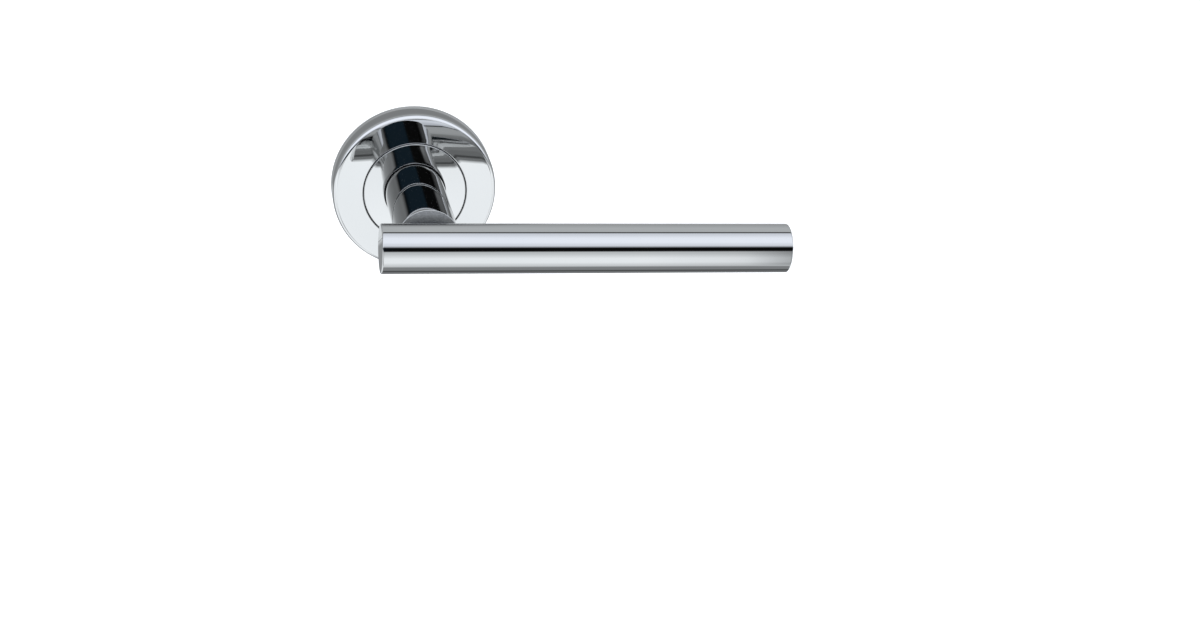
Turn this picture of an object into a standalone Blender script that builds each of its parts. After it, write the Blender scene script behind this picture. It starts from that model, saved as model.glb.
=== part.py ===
"""Lever door handle on a round rose: a straight bar across the end of a round neck, a sprung rose and its fixings.

World frame: +X runs along the lever, -Y faces the user, +Y goes into the door, +Z is up. The origin is on the
spindle's axis, in the plane of the door face. Pieces are drawn with their own Z along their axis: those of the rose
and neck measure it forward from the door, and those of the bar measure it along the bar from the neck's axis.
"""

from math import asin, cos, degrees, pi, radians, sin, sqrt

import bmesh
import bpy

MM = 0.001

# Clearances between separate pieces
CLEARANCE = 0.25 * MM
SEAM = 0.3 * MM

# Rose cover and the plate inside it
ROSE_DIAMETER = 52.0 * MM
ROSE_DEPTH = 9.0 * MM
COVER_WALL = 1.2 * MM
COVER_EDGE_RADIUS = 1.4 * MM
COVER_LIP_DEPTH = 2.4 * MM
COVER_GAP = 0.6 * MM

# Fixed centre disc of the rose
DISC_OVERHANG = 1.0 * MM
DISC_THICKNESS = 1.45 * MM
DISC_EDGE_RADIUS = 0.2 * MM

# Neck and its journal
NECK_DIAMETER = 19.0 * MM
NECK_EDGE = 0.25 * MM
NECK_WEB = 4.35 * MM
SADDLE_DEPTH = 0.5 * MM
JOURNAL_STEP = 1.5 * MM
JOURNAL_TAIL = 1.0 * MM
JOURNAL_FLAT_CUT = 0.8 * MM

# Bar
BAR_DIAMETER = 15.0 * MM
BAR_WALL = 1.5 * MM
BAR_LENGTH = 125.0 * MM
BAR_BACK_END = 15.0 * MM
BAR_DEPTH = 55.0 * MM
BAR_EDGE_RADIUS = 0.4 * MM
PLUG_LENGTH = 3.5 * MM
PLUG_TO_ANCHOR = 0.5 * MM

# Screw that pulls the bar against the neck
BAR_SCREW_RADIUS = 1.95 * MM
BAR_SCREW_REACH = 3.5 * MM
BAR_SCREW_HEAD_RADIUS = 3.5 * MM
BAR_SCREW_HEAD_HEIGHT = 3.9 * MM
BAR_SCREW_KEY = 3.0 * MM

# Spindle and the grub screw that clamps it
SPINDLE_SIZE = 8.0 * MM
SPINDLE_SLACK = 0.2 * MM
SPINDLE_REACH = 45.0 * MM
GRUB_RADIUS = 2.45 * MM
GRUB_DEPTH = 16.0 * MM
GRUB_SUNK = 0.5 * MM
GRUB_KEY = 2.5 * MM

# Backplate and its hub
WEB_THICKNESS = 1.5 * MM
HUB_WALL = 1.0 * MM
BOSS_RADIUS = 1.7 * MM
BOSS_INSET = 0.1 * MM
BOSS_ANGLES = (198, 268, 338)

# Bushes, washer and circlip
BUSH_WALL = 0.9 * MM
BUSH_FLANGE_WIDTH = 1.75 * MM
BUSH_FLANGE_THICKNESS = 0.4 * MM
WASHER_WIDTH = 2.35 * MM
WASHER_THICKNESS = 0.4 * MM
RECESS_GAP = 0.4 * MM
CIRCLIP_THICKNESS = 0.8 * MM
CIRCLIP_WIDTH = 1.8 * MM
CIRCLIP_SINK = 0.4 * MM
CIRCLIP_MOUTH = 24
CIRCLIP_EAR_RADIUS = 1.3 * MM
CIRCLIP_EAR_HOLE = 0.6 * MM

# Driver, stop pins and return spring
LEVER_TRAVEL = 45
DRIVER_WALL = 1.55 * MM
DRIVER_ARM_THICKNESS = 0.6 * MM
TAB_ANGLE = 90
TAB_HALF_ANGLE = 12
TAB_THICKNESS = 2.0 * MM
TAB_GAP = 0.6 * MM
PIN_RADIUS = 1.2 * MM
PIN_SUNK = 1.2 * MM
PIN_BELOW_HUB = 0.4 * MM
SPRING_WIRE_RADIUS = 0.45 * MM
SPRING_GAP = 0.45 * MM
SPRING_TURNS = 2
SPRING_BEND = 1.0 * MM

# Fixings
DISC_SCREW_RADIUS = 0.95 * MM
DISC_SCREW_HEAD_RADIUS = 1.7 * MM
DISC_SCREW_HEAD_HEIGHT = 1.2 * MM
DISC_SCREW_BITE = 0.75 * MM
BOLT_RADIUS = 1.95 * MM
BOLT_HEAD_RADIUS = 3.5 * MM
BOLT_HEAD_HEIGHT = 2.5 * MM
BOLT_HUB_GAP = 0.3 * MM
BOLT_REACH = 24.0 * MM
WOOD_SCREW_RADIUS = 1.6 * MM
WOOD_SCREW_HEAD_RADIUS = 3.0 * MM
WOOD_SCREW_HUB_GAP = 0.3 * MM
WOOD_SCREW_REACH = 13.0 * MM
WOOD_SCREW_POINT = 3.5 * MM
SNAP_WIRE_RADIUS = 0.5 * MM
SNAP_RING_DEPTH = 2.0 * MM
SNAP_RING_PROUD = 0.25 * MM
SNAP_RING_MOUTH = 14

# Facets round a full turn
LARGE_ROUND = 64
MEDIUM_ROUND = 40
SMALL_ROUND = 20

# Radii that follow, from the spindle's axis outwards
neck_radius = NECK_DIAMETER / 2
journal_radius = neck_radius - JOURNAL_STEP
journal_flat = journal_radius - JOURNAL_FLAT_CUT
groove_radius = journal_radius - CIRCLIP_SINK - CLEARANCE
running_bore = journal_radius + CLEARANCE
bush_radius = running_bore + BUSH_WALL
bush_seat = bush_radius + CLEARANCE
bush_flange_radius = running_bore + BUSH_FLANGE_WIDTH
washer_radius = running_bore + WASHER_WIDTH
recess_radius = washer_radius + RECESS_GAP
driver_radius = running_bore + DRIVER_WALL
spring_radius = driver_radius + SPRING_GAP + SPRING_WIRE_RADIUS
tab_inner_radius = spring_radius + SPRING_WIRE_RADIUS + SPRING_GAP
tab_outer_radius = tab_inner_radius + TAB_THICKNESS
pin_pitch_radius = (tab_inner_radius + tab_outer_radius) / 2
cavity_radius = tab_outer_radius + TAB_GAP
spring_leg_radius = cavity_radius - CLEARANCE
hub_radius = cavity_radius + HUB_WALL
boss_pitch_radius = hub_radius - BOSS_RADIUS - BOSS_INSET
disc_radius = hub_radius + DISC_OVERHANG
cover_bore = disc_radius + SEAM
bolt_pitch_radius = hub_radius + BOLT_HUB_GAP + BOLT_HEAD_RADIUS
wood_screw_pitch_radius = hub_radius + WOOD_SCREW_HUB_GAP + WOOD_SCREW_HEAD_RADIUS
rose_radius = ROSE_DIAMETER / 2
plate_radius = rose_radius - COVER_WALL - COVER_GAP

# Heights that follow, from the door forwards
washer_start = CIRCLIP_THICKNESS + CLEARANCE
recess_depth = washer_start + WASHER_THICKNESS + CLEARANCE
plate_thickness = recess_depth + WEB_THICKNESS
rear_flange_start = plate_thickness + CLEARANCE
driver_start = rear_flange_start + BUSH_FLANGE_THICKNESS + CLEARANCE
disc_back = ROSE_DEPTH - DISC_THICKNESS
hub_top = disc_back - CLEARANCE
boss_top = hub_top - CLEARANCE / 2
driver_end = disc_back - CLEARANCE
arm_start = driver_end - DRIVER_ARM_THICKNESS
pin_top = hub_top - PIN_BELOW_HUB
disc_screw_seat = DISC_SCREW_HEAD_HEIGHT + 2 * CLEARANCE
neck_start = ROSE_DEPTH + CLEARANCE

# Sizes that follow, at the bar
bar_radius = BAR_DIAMETER / 2
bar_bore = bar_radius - BAR_WALL
bar_front_end = BAR_LENGTH - BAR_BACK_END
fitted_radius = bar_bore - CLEARANCE
anchor_half = BAR_BACK_END - PLUG_LENGTH - PLUG_TO_ANCHOR
saddle_radius = bar_radius + CLEARANCE
neck_end = BAR_DEPTH - bar_radius + SADDLE_DEPTH
screw_hole = BAR_SCREW_RADIUS + CLEARANCE
screw_head_bore = BAR_SCREW_HEAD_RADIUS + CLEARANCE
screw_seat = BAR_DEPTH - saddle_radius - NECK_WEB
screw_head_end = screw_seat - CLEARANCE
screw_head_start = screw_head_end - BAR_SCREW_HEAD_HEIGHT
socket_size = SPINDLE_SIZE + 2 * SPINDLE_SLACK
socket_end = screw_head_start - CLEARANCE
spindle_end = socket_end - CLEARANCE


def material(name, colour, roughness, metallic):
    """A Principled BSDF material."""
    made = bpy.data.materials.new(name)
    made.use_nodes = True
    shader = made.node_tree.nodes["Principled BSDF"]
    shader.inputs["Base Color"].default_value = (*colour, 1)
    shader.inputs["Roughness"].default_value = roughness
    shader.inputs["Metallic"].default_value = metallic
    return made


def finished(name, bm, finish, parent):
    """The bmesh as a named object on its parent's axis."""
    bmesh.ops.recalc_face_normals(bm, faces=bm.faces)
    mesh = bpy.data.meshes.new(name)
    bm.to_mesh(mesh)
    bm.free()
    mesh.shade_smooth()
    mesh.set_sharp_from_angle(angle=radians(30))
    return added(name, mesh, finish, parent)


def added(name, data, finish, parent):
    piece = bpy.data.objects.new(name, data)
    bpy.context.scene.collection.objects.link(piece)
    piece.parent = parent
    if finish:
        data.materials.append(finish)
    return piece


def polar(radius, angle):
    return radius * cos(radians(angle)), radius * sin(radians(angle))


def arc(centre, radius, start, end, steps):
    """Points round an arc of an outline, both ends included. Angles are in degrees."""
    angles = [start + (end - start) * step / steps for step in range(steps + 1)]
    return [(centre[0] + polar(radius, a)[0], centre[1] + polar(radius, a)[1]) for a in angles]


def turned(name, outline, finish, parent, sides=MEDIUM_ROUND):
    """A turned piece from (radius, height) points. An outline that starts on the axis also ends on it."""
    bm = bmesh.new()
    points = [bm.verts.new((radius, 0, height)) for radius, height in outline]
    edges = [bm.edges.new(pair) for pair in zip(points, points[1:])]
    if outline[0][0] > 0:
        edges.append(bm.edges.new((points[-1], points[0])))
    bmesh.ops.spin(bm, geom=points + edges, cent=(0, 0, 0), axis=(0, 0, 1), angle=2 * pi, steps=sides)
    bmesh.ops.remove_doubles(bm, verts=bm.verts, dist=0.001 * MM)
    return finished(name, bm, finish, parent)


def prism(name, outline, bottom, top, finish, parent):
    """A straight prism over an outline of (x, y) points."""
    bm = bmesh.new()
    base = bm.faces.new([bm.verts.new((x, y, bottom)) for x, y in outline])
    raised = bmesh.ops.extrude_face_region(bm, geom=[base])["geom"]
    corners = [part for part in raised if isinstance(part, bmesh.types.BMVert)]
    bmesh.ops.translate(bm, vec=(0, 0, top - bottom), verts=corners)
    return finished(name, bm, finish, parent)


def cylinder(name, radius, bottom, top, finish, parent, sides=SMALL_ROUND):
    outline = [(0, bottom), (radius, bottom), (radius, top), (0, top)]
    return turned(name, outline, finish, parent, sides)


def tube(name, bore, radius, bottom, top, finish, parent, sides=MEDIUM_ROUND):
    outline = [(bore, bottom), (radius, bottom), (radius, top), (bore, top)]
    return turned(name, outline, finish, parent, sides)


def square(size):
    half = size / 2
    return [(-half, -half), (half, -half), (half, half), (-half, half)]


def hexagon(across_flats):
    return [polar(across_flats / 2 / cos(radians(30)), 60 * corner) for corner in range(6)]


def cross(span, blade):
    """Outline of a cross-shaped driver recess."""
    near, far = blade / 2, span / 2
    quarter = [(far, near), (near, near), (near, far)]
    outline = []
    for _ in range(4):
        outline += quarter
        quarter = [(-y, x) for x, y in quarter]
    return outline


def combine(piece, tool, operation="DIFFERENCE", solver="EXACT"):
    """Cuts the tool out of the piece, or joins it on. The tool stays as a hidden guide."""
    tool.hide_render = True
    tool.display_type = "WIRE"
    modifier = piece.modifiers.new(tool.name, "BOOLEAN")
    modifier.operation = operation
    modifier.solver = solver
    modifier.object = tool


def axis_empty(name, location=(0, 0, 0), rotation=(0, 0, 0), parent=None):
    empty = bpy.data.objects.new(name, None)
    bpy.context.scene.collection.objects.link(empty)
    empty.parent = parent
    empty.location = location
    empty.rotation_euler = rotation
    return empty


def make_rose_cover(axis):
    """Slide-off cover: round wall, flat face with a rounded rim, and a lip round the centre disc."""
    inside = rose_radius - COVER_WALL
    face_back = ROSE_DEPTH - COVER_WALL
    rim = (rose_radius - COVER_EDGE_RADIUS, ROSE_DEPTH - COVER_EDGE_RADIUS)
    lip = cover_bore + COVER_WALL
    outline = [(inside, 0), (rose_radius, 0)]
    outline += arc(rim, COVER_EDGE_RADIUS, 0, 90, 6)
    outline += [
        (cover_bore + DISC_EDGE_RADIUS, ROSE_DEPTH),
        (cover_bore, ROSE_DEPTH - DISC_EDGE_RADIUS),
        (cover_bore, ROSE_DEPTH - COVER_LIP_DEPTH),
        (lip, ROSE_DEPTH - COVER_LIP_DEPTH),
        (lip, face_back),
        (inside, face_back),
    ]
    turned("rose_cover", outline, chrome, axis, LARGE_ROUND)


def make_face_disc(axis):
    """Centre disc, flush with the cover, screwed to the backplate's hub from behind."""
    outline = [
        (bush_seat, disc_back),
        (disc_radius, disc_back),
        (disc_radius, ROSE_DEPTH - DISC_EDGE_RADIUS),
        (disc_radius - DISC_EDGE_RADIUS, ROSE_DEPTH),
        (bush_seat, ROSE_DEPTH),
    ]
    disc = turned("face_disc", outline, chrome, axis, LARGE_ROUND)
    for angle in BOSS_ANGLES:
        hole = cylinder(
            f"disc_tapping_{angle}",
            DISC_SCREW_RADIUS + CLEARANCE,
            disc_back - MM,
            disc_back + DISC_SCREW_BITE + CLEARANCE,
            None,
            axis,
        )
        hole.location.x, hole.location.y = polar(boss_pitch_radius, angle)
        combine(disc, hole)


def make_backplate(axis):
    """Backplate with a hub that houses the spring, a rear recess for the circlip and a groove for the snap ring."""
    groove = plate_radius + SNAP_RING_PROUD - 2 * SNAP_WIRE_RADIUS - CLEARANCE
    groove_half = SNAP_WIRE_RADIUS + CLEARANCE
    outline = [
        (recess_radius, 0),
        (plate_radius, 0),
        (plate_radius, SNAP_RING_DEPTH - groove_half),
        (groove, SNAP_RING_DEPTH - groove_half),
        (groove, SNAP_RING_DEPTH + groove_half),
        (plate_radius, SNAP_RING_DEPTH + groove_half),
        (plate_radius, plate_thickness),
        (hub_radius, plate_thickness),
        (hub_radius, hub_top),
        (cavity_radius, hub_top),
        (cavity_radius, plate_thickness),
        (bush_seat, plate_thickness),
        (bush_seat, recess_depth),
        (recess_radius, recess_depth),
    ]
    plate = turned("backplate", outline, steel, axis, LARGE_ROUND)
    for angle in BOSS_ANGLES:
        x, y = polar(boss_pitch_radius, angle)
        boss = cylinder(f"boss_{angle}", BOSS_RADIUS, plate_thickness - MM, boss_top, None, axis)
        boss.location.x, boss.location.y = x, y
        combine(plate, boss, "UNION", "MANIFOLD")
        head = DISC_SCREW_HEAD_RADIUS + CLEARANCE
        shank = DISC_SCREW_RADIUS + CLEARANCE
        seat = disc_screw_seat
        stepped = [(0, -MM), (head, -MM), (head, seat), (shank, seat), (shank, hub_top + MM), (0, hub_top + MM)]
        hole = turned(f"boss_hole_{angle}", stepped, None, axis, SMALL_ROUND)
        hole.location.x, hole.location.y = x, y
        combine(plate, hole, solver="MANIFOLD")
    for side in (-1, 1):
        hole = cylinder(f"bolt_hole_{side}", BOLT_RADIUS + CLEARANCE, -MM, plate_thickness + MM, None, axis)
        hole.location.x = side * bolt_pitch_radius
        combine(plate, hole, solver="MANIFOLD")
        sink = turned(f"screw_sink_{side}", wood_screw_outline(CLEARANCE), None, axis, SMALL_ROUND)
        sink.location.y = side * wood_screw_pitch_radius
        combine(plate, sink, solver="MANIFOLD")
    for pin_angle in stop_pin_angles():
        hole = cylinder(
            f"pin_hole_{pin_angle:.0f}",
            PIN_RADIUS + CLEARANCE,
            plate_thickness - PIN_SUNK - CLEARANCE,
            plate_thickness + MM,
            None,
            axis,
        )
        hole.location.x, hole.location.y = polar(pin_pitch_radius, pin_angle)
        combine(plate, hole, solver="MANIFOLD")


def wood_screw_outline(margin):
    """Countersunk wood screw, or with a margin the hole that takes it: both flush with the plate's front."""
    shank = WOOD_SCREW_RADIUS + margin
    head = WOOD_SCREW_HEAD_RADIUS + margin
    neck = plate_thickness - (head - shank)
    if margin:
        above = plate_thickness + MM
        return [(0, -MM), (shank, -MM), (shank, neck), (head, plate_thickness), (head, above), (0, above)]
    point = -WOOD_SCREW_REACH
    return [
        (0, point),
        (shank, point + WOOD_SCREW_POINT),
        (shank, neck),
        (head, plate_thickness),
        (0, plate_thickness),
    ]


def stop_pin_angles():
    """Angles of the two pins that the driver's tab meets at rest and at full travel."""
    stand_off = TAB_HALF_ANGLE + degrees(asin((PIN_RADIUS + CLEARANCE) / pin_pitch_radius))
    return TAB_ANGLE + stand_off, TAB_ANGLE - LEVER_TRAVEL - stand_off


def make_stop_pins(axis):
    for name, angle in zip(("stop_pin_rest", "stop_pin_full"), stop_pin_angles()):
        pin = cylinder(name, PIN_RADIUS, plate_thickness - PIN_SUNK, pin_top, steel, axis)
        pin.location.x, pin.location.y = polar(pin_pitch_radius, angle)


def make_return_spring(axis):
    """Torsion spring round the driver: one leg hooks behind the rest pin and the other pushes the driver's tab."""
    low = plate_thickness + CLEARANCE + SPRING_WIRE_RADIUS
    rest_pin = stop_pin_angles()[0]
    leg_gap = PIN_RADIUS + SPRING_WIRE_RADIUS + CLEARANCE
    anchor_leg = rest_pin + degrees(asin(leg_gap / pin_pitch_radius))
    tab_gap = SPRING_WIRE_RADIUS + CLEARANCE
    push_leg = TAB_ANGLE - TAB_HALF_ANGLE - degrees(asin(tab_gap / tab_inner_radius))
    bend_centre = spring_radius + SPRING_BEND
    bend_angle = degrees(asin(SPRING_BEND / bend_centre))
    first, last = anchor_leg - bend_angle, push_leg + bend_angle - 360 * SPRING_TURNS
    high = arm_start - CLEARANCE - SPRING_WIRE_RADIUS

    def bend(leg, side):
        """Quarter bend from the radial leg onto the coil, on the side given by the sign."""
        centre = polar(bend_centre, leg - side * bend_angle)
        start, end = leg + side * 90, leg - side * bend_angle + 180
        sweep = (end - start + 180) % 360 - 180
        return arc(centre, SPRING_BEND, start, start + sweep, 4)

    path = [(*polar(spring_leg_radius, anchor_leg), low)]
    path += [(x, y, low) for x, y in bend(anchor_leg, 1)]
    steps = round((first - last) / 12)
    for step in range(1, steps):
        share = step / steps
        path.append((*polar(spring_radius, first + (last - first) * share), low + (high - low) * share))
    path += [(x, y, high) for x, y in reversed(bend(push_leg, -1))]
    path.append((*polar(spring_leg_radius, push_leg), high))

    curve = bpy.data.curves.new("return_spring", "CURVE")
    curve.dimensions = "3D"
    curve.bevel_depth = SPRING_WIRE_RADIUS
    curve.bevel_resolution = 2
    curve.use_fill_caps = True
    spline = curve.splines.new("POLY")
    spline.points.add(len(path) - 1)
    for point, place in zip(spline.points, path):
        point.co = (*place, 1)
    added("return_spring", curve, spring_steel, axis)


def make_spring_driver(axis):
    """Ring keyed to the journal's flats, with an arm over the spring and a tab outside it."""
    ring = tube("spring_driver", running_bore, driver_radius, driver_start, driver_end, steel, axis)
    start, end = TAB_ANGLE - TAB_HALF_ANGLE, TAB_ANGLE + TAB_HALF_ANGLE
    sector = arc((0, 0), tab_outer_radius, start, end, 4)
    arm_inner = (running_bore + driver_radius) / 2
    arm = prism("arm_blank", sector + arc((0, 0), arm_inner, end, start, 4), arm_start, driver_end, None, axis)
    combine(ring, arm, "UNION", "MANIFOLD")
    tab_low = plate_thickness + CLEARANCE
    overlap = DRIVER_ARM_THICKNESS / 2
    tab_outline = sector + arc((0, 0), tab_inner_radius, end, start, 4)
    tab = prism("tab_blank", tab_outline, tab_low, arm_start + overlap, None, axis)
    combine(ring, tab, "UNION", "MANIFOLD")
    key_face = journal_flat + CLEARANCE
    key_root = running_bore + DRIVER_WALL / 2
    key_reach = 0.97 * sqrt(driver_radius**2 - key_root**2)
    for side in (-1, 1):
        near, far = sorted((side * key_face, side * key_root))
        block = [(near, -key_reach), (far, -key_reach), (far, key_reach), (near, key_reach)]
        key = prism(f"key_blank_{side}", block, driver_start, driver_end, None, axis)
        combine(ring, key, "UNION", "MANIFOLD")


def make_bushes(axis):
    """Nylon bearings: a flanged one in the backplate and a plain one in the centre disc."""
    outline = [
        (running_bore, recess_depth),
        (bush_radius, recess_depth),
        (bush_radius, rear_flange_start),
        (bush_flange_radius, rear_flange_start),
        (bush_flange_radius, rear_flange_start + BUSH_FLANGE_THICKNESS),
        (running_bore, rear_flange_start + BUSH_FLANGE_THICKNESS),
    ]
    turned("rear_bush", outline, nylon, axis)
    tube("front_bush", running_bore, bush_radius, disc_back, ROSE_DEPTH, nylon, axis)


def make_circlip(axis):
    """Open retaining ring in the journal's groove, with two drilled ears beside its mouth at the bottom."""
    bore = groove_radius + CLEARANCE
    outer = bore + CIRCLIP_WIDTH
    mouth_low, mouth_high = -90 + CIRCLIP_MOUTH / 2, 270 - CIRCLIP_MOUTH / 2
    outline = arc((0, 0), outer, mouth_low, mouth_high, 36) + arc((0, 0), bore, mouth_high, mouth_low, 36)
    clip = prism("circlip", outline, 0, CIRCLIP_THICKNESS, spring_steel, axis)
    ear_radius = bore + CIRCLIP_EAR_RADIUS + CLEARANCE
    for side in (-1, 1):
        place = polar(ear_radius, -90 + side * CIRCLIP_MOUTH)
        ear = cylinder(f"ear_blank_{side}", CIRCLIP_EAR_RADIUS, 0, CIRCLIP_THICKNESS, None, axis)
        ear.location.x, ear.location.y = place
        combine(clip, ear, "UNION", "MANIFOLD")
        hole = cylinder(f"ear_hole_{side}", CIRCLIP_EAR_HOLE, -MM, CIRCLIP_THICKNESS + MM, None, axis, 12)
        hole.location.x, hole.location.y = place
        combine(clip, hole, solver="MANIFOLD")


def make_snap_ring(axis):
    """Open wire ring in the backplate's groove, which grips the cover's wall."""
    radius = plate_radius + SNAP_RING_PROUD - SNAP_WIRE_RADIUS
    curve = bpy.data.curves.new("cover_snap_ring", "CURVE")
    curve.dimensions = "3D"
    curve.bevel_depth = SNAP_WIRE_RADIUS
    curve.bevel_resolution = 2
    curve.use_fill_caps = True
    path = arc((0, 0), radius, -90 + SNAP_RING_MOUTH / 2, 270 - SNAP_RING_MOUTH / 2, 60)
    spline = curve.splines.new("POLY")
    spline.points.add(len(path) - 1)
    for point, (x, y) in zip(spline.points, path):
        point.co = (x, y, SNAP_RING_DEPTH, 1)
    added("cover_snap_ring", curve, spring_steel, axis)


def make_neck(axis):
    """Neck with a journal through the rose, a square socket, a saddle for the bar and a tapped clamp hole."""
    outline = [
        (0, -JOURNAL_TAIL),
        (journal_radius, -JOURNAL_TAIL),
        (journal_radius, -CLEARANCE),
        (groove_radius, -CLEARANCE),
        (groove_radius, CIRCLIP_THICKNESS + CLEARANCE),
        (journal_radius, CIRCLIP_THICKNESS + CLEARANCE),
        (journal_radius, neck_start),
        (neck_radius - NECK_EDGE, neck_start),
        (neck_radius, neck_start + NECK_EDGE),
        (neck_radius, neck_end - NECK_EDGE),
        (neck_radius - NECK_EDGE, neck_end),
        (0, neck_end),
    ]
    neck = turned("neck", outline, chrome, axis, LARGE_ROUND)
    socket = prism("socket_cut", square(socket_size), -JOURNAL_TAIL - MM, socket_end, None, axis)
    combine(neck, socket)
    stepped = [
        (0, socket_end - MM),
        (screw_head_bore, socket_end - MM),
        (screw_head_bore, screw_seat),
        (screw_hole, screw_seat),
        (screw_hole, neck_end + MM),
        (0, neck_end + MM),
    ]
    combine(neck, turned("bar_screw_cut", stepped, None, axis, SMALL_ROUND))
    saddle = cylinder("saddle_cut", saddle_radius, -neck_radius - MM, neck_radius + MM, None, axis, LARGE_ROUND)
    saddle.location.z = BAR_DEPTH
    saddle.rotation_euler.y = pi / 2
    combine(neck, saddle)
    clamp = cylinder("grub_cut", GRUB_RADIUS + CLEARANCE, 0, neck_radius + MM, None, axis)
    clamp.location.z = GRUB_DEPTH
    clamp.rotation_euler.x = pi / 2
    combine(neck, clamp)
    depth = journal_radius - journal_flat + MM
    for side in (-1, 1):
        block = [(-depth / 2, -journal_radius), (depth / 2, -journal_radius)]
        block += [(depth / 2, journal_radius), (-depth / 2, journal_radius)]
        flat = prism(f"flat_cut_{side}", block, -JOURNAL_TAIL - MM, disc_back, None, axis)
        flat.location.x = side * (journal_flat + depth / 2)
        combine(neck, flat)


def make_spindle(axis):
    prism("spindle", square(SPINDLE_SIZE), -SPINDLE_REACH, spindle_end, steel, axis)


def make_grub_screw(axis):
    """Clamps the spindle from the neck's underside. Its height is measured out from the spindle's axis."""
    tip = SPINDLE_SIZE / 2 + CLEARANCE
    top = neck_radius - GRUB_SUNK
    chamfer = GRUB_RADIUS * 0.3
    outline = [(0, tip), (GRUB_RADIUS - chamfer, tip), (GRUB_RADIUS, tip + chamfer), (GRUB_RADIUS, top), (0, top)]
    screw = turned("grub_screw", outline, steel, axis, SMALL_ROUND)
    key = prism("grub_key_cut", hexagon(GRUB_KEY), (tip + top) / 2, top + MM, None, axis)
    for piece in (screw, key):
        piece.location.z = GRUB_DEPTH
        piece.rotation_euler.x = pi / 2
    combine(screw, key)


def make_bar_screw(axis):
    """Cap screw from inside the neck into the anchor in the bar."""
    tip = BAR_DEPTH + BAR_SCREW_REACH
    outline = [
        (0, screw_head_start),
        (BAR_SCREW_HEAD_RADIUS, screw_head_start),
        (BAR_SCREW_HEAD_RADIUS, screw_head_end),
        (BAR_SCREW_RADIUS, screw_head_end),
        (BAR_SCREW_RADIUS, tip),
        (0, tip),
    ]
    screw = turned("bar_screw", outline, steel, axis, SMALL_ROUND)
    bottom = screw_head_start + BAR_SCREW_HEAD_HEIGHT / 2
    combine(screw, prism("bar_screw_key_cut", hexagon(BAR_SCREW_KEY), screw_head_start - MM, bottom, None, axis))


def make_bar(axis, neck_axis):
    """Round tube across the neck, its two flush end plugs and the tapped anchor inside it."""
    edge = BAR_EDGE_RADIUS
    low, high = -BAR_BACK_END, bar_front_end
    outline = [(bar_bore, low)]
    outline += arc((bar_radius - edge, low + edge), edge, -90, 0, 3)
    outline += arc((bar_radius - edge, high - edge), edge, 0, 90, 3)
    outline += [(bar_bore, high)]
    bar = turned("lever_bar", outline, chrome, axis, LARGE_ROUND)
    hole = cylinder("bar_hole_cut", screw_hole, neck_end - 2 * MM, BAR_DEPTH, None, neck_axis)
    combine(bar, hole)
    cylinder("bar_plug_near", fitted_radius, low, low + PLUG_LENGTH, chrome, axis, MEDIUM_ROUND)
    cylinder("bar_plug_far", fitted_radius, high - PLUG_LENGTH, high, chrome, axis, MEDIUM_ROUND)
    anchor = cylinder("bar_anchor", fitted_radius, -anchor_half, anchor_half, brass, axis, MEDIUM_ROUND)
    tapping_end = BAR_DEPTH + BAR_SCREW_REACH + CLEARANCE
    combine(anchor, cylinder("anchor_cut", screw_hole, neck_end, tapping_end, None, neck_axis))


def make_disc_screws(axis):
    """Small cap screws that hold the centre disc to the hub's bosses, put in from behind."""
    head_top = disc_screw_seat - CLEARANCE
    head_low = head_top - DISC_SCREW_HEAD_HEIGHT
    tip = disc_back + DISC_SCREW_BITE
    outline = [
        (0, head_low),
        (DISC_SCREW_HEAD_RADIUS, head_low),
        (DISC_SCREW_HEAD_RADIUS, head_top),
        (DISC_SCREW_RADIUS, head_top),
        (DISC_SCREW_RADIUS, tip),
        (0, tip),
    ]
    span = 1.2 * DISC_SCREW_HEAD_RADIUS
    for number, angle in enumerate(BOSS_ANGLES, start=1):
        screw = turned(f"disc_screw_{number}", outline, steel, axis, SMALL_ROUND)
        slot = prism(
            f"disc_screw_slot_{number}",
            cross(span, span / 4),
            head_low - MM,
            head_low + DISC_SCREW_HEAD_HEIGHT / 2,
            None,
            axis,
        )
        for piece in (screw, slot):
            piece.location.x, piece.location.y = polar(boss_pitch_radius, angle)
        combine(screw, slot)


def make_fixings(axis):
    """Two bolts that go through the door, beside the spindle, and two wood screws above and below it."""
    head_low = plate_thickness + CLEARANCE
    head_top = head_low + BOLT_HEAD_HEIGHT
    crown = BOLT_HEAD_HEIGHT * 0.4
    bolt_outline = [
        (0, -BOLT_REACH),
        (BOLT_RADIUS, -BOLT_REACH),
        (BOLT_RADIUS, head_low),
        (BOLT_HEAD_RADIUS, head_low),
        (BOLT_HEAD_RADIUS, head_top - crown),
        (BOLT_HEAD_RADIUS - crown, head_top),
        (0, head_top),
    ]
    fixings = [
        ("fixing_bolt_left", bolt_outline, (-bolt_pitch_radius, 0), head_top, BOLT_HEAD_RADIUS),
        ("fixing_bolt_right", bolt_outline, (bolt_pitch_radius, 0), head_top, BOLT_HEAD_RADIUS),
    ]
    screw_outline = wood_screw_outline(0)
    for name, side in (("wood_screw_upper", 1), ("wood_screw_lower", -1)):
        place = (0, side * wood_screw_pitch_radius)
        fixings.append((name, screw_outline, place, plate_thickness, WOOD_SCREW_HEAD_RADIUS))
    for name, outline, place, top, head_radius in fixings:
        screw = turned(name, outline, steel, axis, SMALL_ROUND)
        span = 1.2 * head_radius
        recess = prism(f"{name}_recess", cross(span, span / 4), top - span / 3, top + MM, None, axis)
        for piece in (screw, recess):
            piece.location.x, piece.location.y = place
        combine(screw, recess)


for old in list(bpy.data.objects):
    bpy.data.objects.remove(old, do_unlink=True)

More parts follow.
